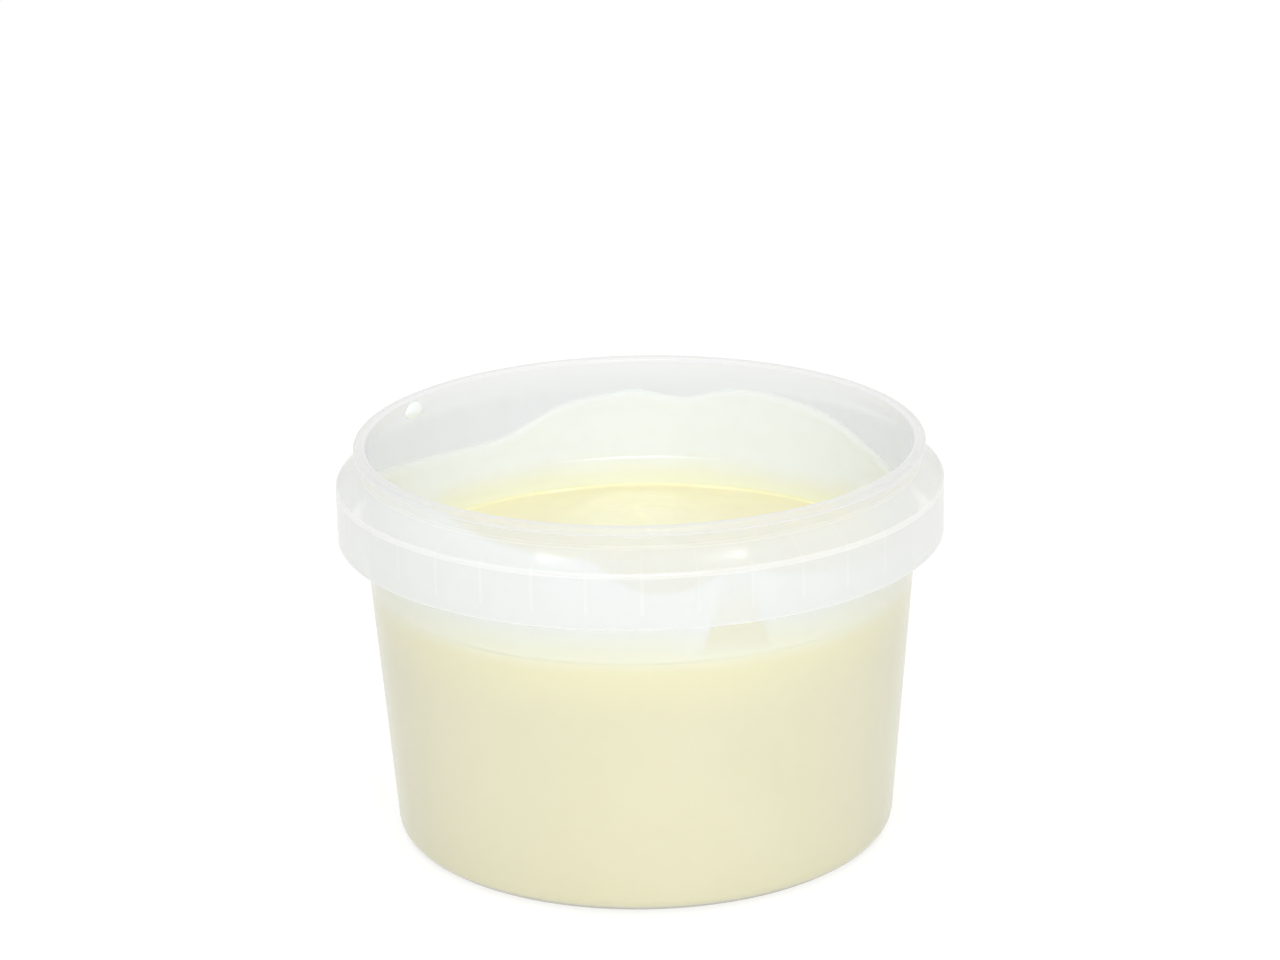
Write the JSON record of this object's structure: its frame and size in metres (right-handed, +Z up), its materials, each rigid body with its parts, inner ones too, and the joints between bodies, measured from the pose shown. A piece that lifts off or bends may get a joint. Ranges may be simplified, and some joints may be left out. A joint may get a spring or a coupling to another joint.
{
  "type": "tub of white chocolate spread",
  "caption": "Open round translucent tub with a ribbed tamper-evident skirt, filled with white chocolate spread.",
  "frame": {"origin": "centre of the tub's base, on the surface it stands on", "axes": "+Z up along the tub's axis, -Y the front as shown, +X to the right"},
  "size_m": [0.118, 0.118, 0.0791],
  "materials": {
    "tub_plastic": "translucent natural polypropylene, smooth",
    "spread": "smooth creamy white chocolate, soft gloss",
    "spread_film": "thin smear of the spread, soft gloss"
  },
  "bodies": {
    "root": {"tub": "tub_plastic", "spread": "spread", "wall_film": "spread_film"}
  },
  "joints": []
}
